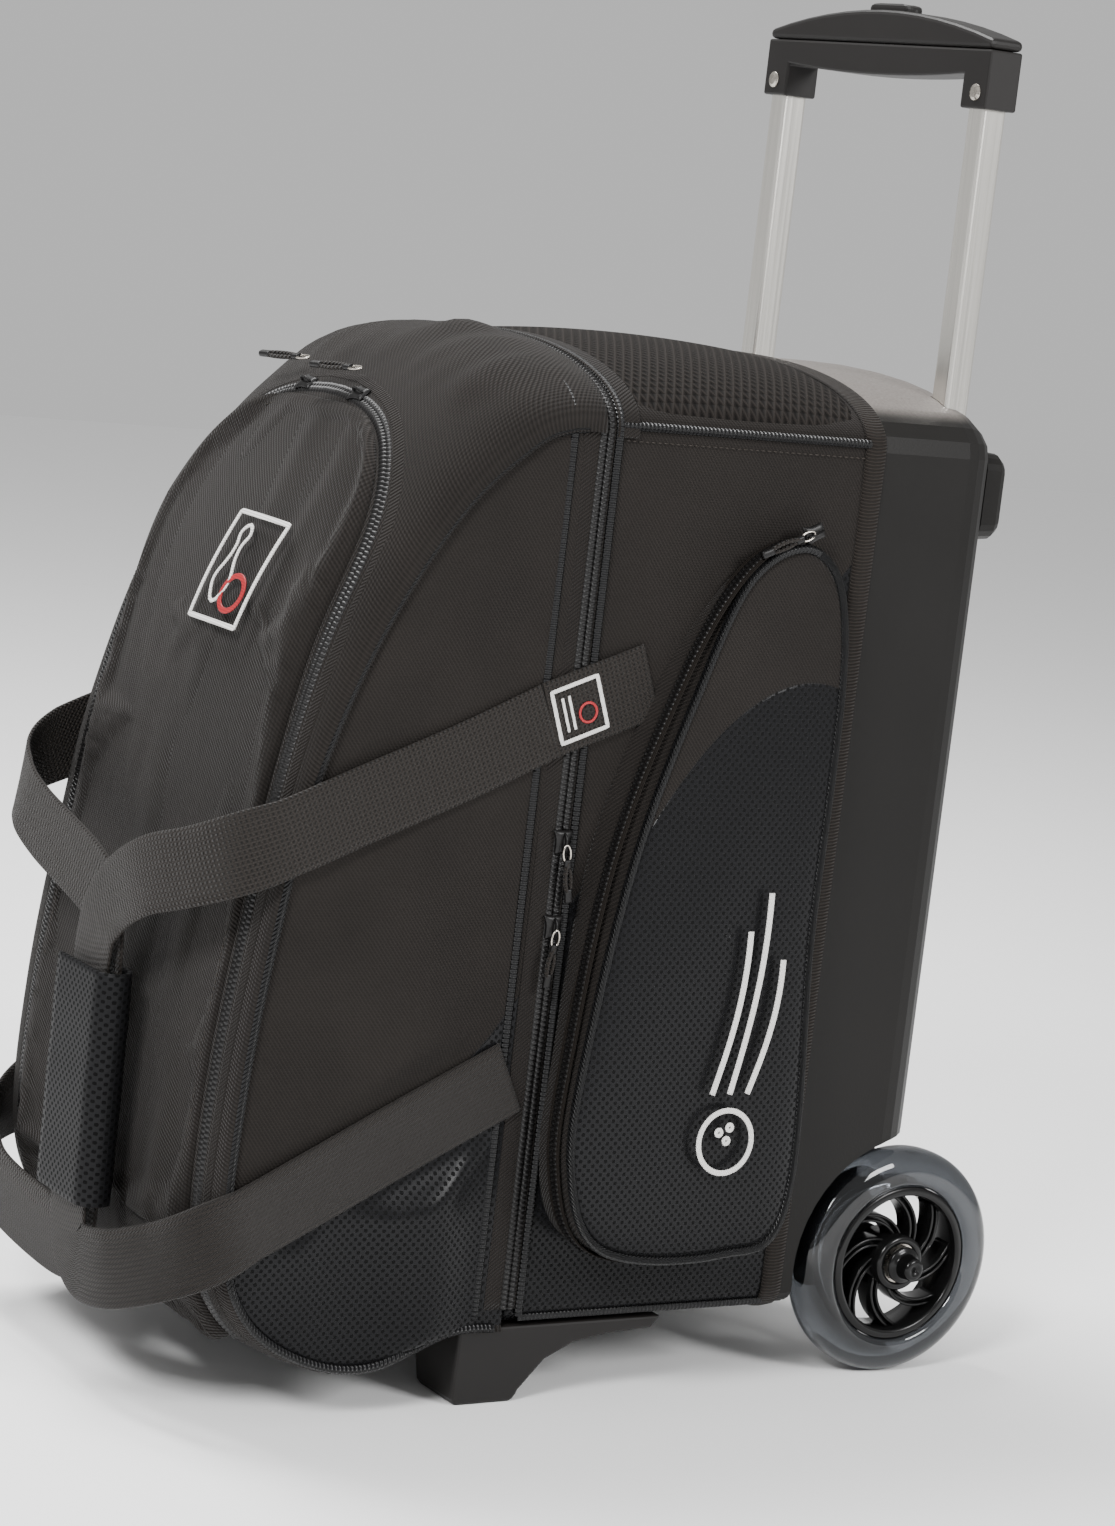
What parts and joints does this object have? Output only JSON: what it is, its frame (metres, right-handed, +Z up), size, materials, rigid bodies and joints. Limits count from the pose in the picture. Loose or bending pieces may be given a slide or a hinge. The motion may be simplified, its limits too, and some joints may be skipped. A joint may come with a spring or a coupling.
{
  "type": "bowling ball bag",
  "caption": "Upright roller bag for two bowling balls: moulded back shell on two wheels, telescopic handle, padded ball case, clamshell front lid with pocket, side pockets and joined carrying straps.",
  "frame": {"origin": "floor level under the middle of the bounding box", "axes": "+Z up, -Y is the front with the lid and hand pad, +Y is the back with the wheels and handle, +X is the side seen nearest"},
  "size_m": [0.322, 0.5268, 0.745],
  "materials": {
    "shell": "textured black moulded plastic",
    "fabric": "black polyester twill over foam padding",
    "vinyl": "dot-embossed glossy black vinyl",
    "webbing": "black polypropylene webbing",
    "zipper": "black coil zipper tape and painted sliders",
    "board": "covered stiffening board",
    "foam": "lining over closed-cell foam",
    "grip": "matte black plastic",
    "aluminium": "satin anodised extrusion",
    "steel": "plated steel",
    "tyre": "clear smoky polyurethane",
    "hub": "glossy black moulded plastic"
  },
  "bodies": {
    "bag": {"axle_cap_far": "hub", "axle_cap_near": "hub", "axle_spacer_far": "steel", "axle_spacer_near": "steel", "back_board": "board", "back_shell": "shell", "back_skid_far": "shell", "back_skid_near": "shell", "ball_case": "fabric", "ball_cup_lower": "foam", "ball_cup_upper": "foam", "floor_board": "board", "front_foot_far": "grip", "front_foot_near": "grip", "guide_tube_far": "aluminium", "guide_tube_near": "aluminium", "lid_apron": "fabric", "main_zip_rear": "zipper", "shell_binding": "webbing", "side_pocket_far": "vinyl", "side_pocket_near": "vinyl", "side_slider_far": "zipper", "side_slider_near": "zipper", "strap_end_far": "webbing", "strap_end_near": "webbing", "top_pocket": "fabric", "tube_bracket": "shell", "wheel_axle": "steel", "wheel_carrier": "shell"},
    "handle": {"inner_tube_near": "aluminium", "inner_tube_far": "aluminium", "grip_lower": "grip", "grip_upper": "grip", "handle_rivet_near": "steel", "handle_rivet_far": "steel", "button_spring": "steel"},
    "release": {"release_button": "grip", "release_yoke": "steel"},
    "pin_near": {"lock_pin_near": "steel"},
    "pin_far": {"lock_pin_far": "steel"},
    "wheel_near": {"wheel_hub_near": "hub", "wheel_tyre_near": "tyre", "wheel_bearing_near": "steel"},
    "wheel_far": {"wheel_hub_far": "hub", "wheel_tyre_far": "tyre", "wheel_bearing_far": "steel"},
    "lid": {"lid_case": "fabric", "front_pocket": "fabric", "main_zip_front": "zipper"},
    "carry_strap_near": {"strap_near": "webbing", "grip_wrap": "vinyl"},
    "carry_strap_far": {"strap_far": "webbing"},
    "zip_slider_upper": {"main_slider_upper": "zipper"},
    "zip_slider_lower": {"main_slider_lower": "zipper"},
    "zip_pull_upper": {"main_pull_upper": "zipper"},
    "zip_pull_lower": {"main_pull_lower": "zipper"},
    "side_zip_pull_near": {"side_pull_near": "zipper"},
    "side_zip_pull_far": {"side_pull_far": "zipper"},
    "front_zip_pull_near": {"front_pull_near": "zipper"},
    "front_zip_pull_far": {"front_pull_far": "zipper"}
  },
  "joints": [
    {"name": "handle_slide", "type": "slide", "parent": "bag", "child": "handle", "axis": [0, 0, 1], "range_m": [-0.14, 0.18]},
    {"name": "release_press", "type": "slide", "parent": "handle", "child": "release", "axis": [0, 0, -1], "range_m": [0, 0.0035], "stiffness_N_per_m": 900, "deforming": ["button_spring"]},
    {"name": "lock_pin_near_slide", "type": "slide", "parent": "handle", "child": "pin_near", "axis": [0, -1, 0], "range_m": [0, 0.003]},
    {"name": "lock_pin_far_slide", "type": "slide", "parent": "handle", "child": "pin_far", "axis": [0, -1, 0], "range_m": [0, 0.003]},
    {"name": "wheel_near_spin", "type": "hinge", "parent": "bag", "child": "wheel_near", "pos_m": [0.1115, 0.19995, 0.0635], "axis": [1, 0, 0], "continuous": true},
    {"name": "wheel_far_spin", "type": "hinge", "parent": "bag", "child": "wheel_far", "pos_m": [-0.1115, 0.19995, 0.0635], "axis": [1, 0, 0], "continuous": true},
    {"name": "lid_open", "type": "hinge", "parent": "bag", "child": "lid", "pos_m": [0, -0.20305, 0.04], "axis": [1, 0, 0], "range_deg": [0, 40]},
    {"name": "strap_near_swing", "type": "hinge", "parent": "bag", "child": "carry_strap_near", "pos_m": [0.1278, -0.06205, 0.27], "axis": [0, 0, 1], "range_deg": [0, 82]},
    {"name": "strap_far_swing", "type": "hinge", "parent": "bag", "child": "carry_strap_far", "pos_m": [-0.1278, -0.06205, 0.27], "axis": [0, 0, 1], "range_deg": [-82, 0]},
    {"name": "main_slider_upper_travel", "type": "slide", "parent": "bag", "child": "zip_slider_upper", "axis": [0, 0, 1], "range_m": [-0.004, 0.03]},
    {"name": "main_slider_lower_travel", "type": "slide", "parent": "bag", "child": "zip_slider_lower", "axis": [0, 0, 1], "range_m": [-0.17, 0.002]},
    {"name": "main_pull_upper_swing", "type": "hinge", "parent": "zip_slider_upper", "child": "zip_pull_upper", "pos_m": [0.1327, -0.05505, 0.299], "axis": [0, -1, 0], "range_deg": [0, 165]},
    {"name": "main_pull_lower_swing", "type": "hinge", "parent": "zip_slider_lower", "child": "zip_pull_lower", "pos_m": [0.1327, -0.05505, 0.255], "axis": [0, -1, 0], "range_deg": [0, 165]},
    {"name": "side_pull_near_swing", "type": "hinge", "parent": "bag", "child": "side_zip_pull_near", "pos_m": [0.141, 0.06795, 0.4655], "axis": [0, -0.3746, 0.9272], "range_deg": [0, 140]},
    {"name": "side_pull_far_swing", "type": "hinge", "parent": "bag", "child": "side_zip_pull_far", "pos_m": [-0.141, 0.06795, 0.4655], "axis": [0, 0.3746, -0.9272], "range_deg": [0, 140]},
    {"name": "front_pull_near_swing", "type": "hinge", "parent": "lid", "child": "front_zip_pull_near", "pos_m": [0.02829, -0.1443, 0.52373], "axis": [0, 1, 0], "range_deg": [0, 150]},
    {"name": "front_pull_far_swing", "type": "hinge", "parent": "lid", "child": "front_zip_pull_far", "pos_m": [-0.02829, -0.1443, 0.52373], "axis": [0, 1, 0], "range_deg": [0, 150]}
  ],
  "couplings": [
    {"joint": "lock_pin_near_slide", "follows": "release_press", "ratio": 0.857},
    {"joint": "lock_pin_far_slide", "follows": "release_press", "ratio": 0.857},
    {"joint": "strap_near_swing", "follows": "lid_open", "ratio": 2},
    {"joint": "strap_far_swing", "follows": "lid_open", "ratio": -2}
  ]
}
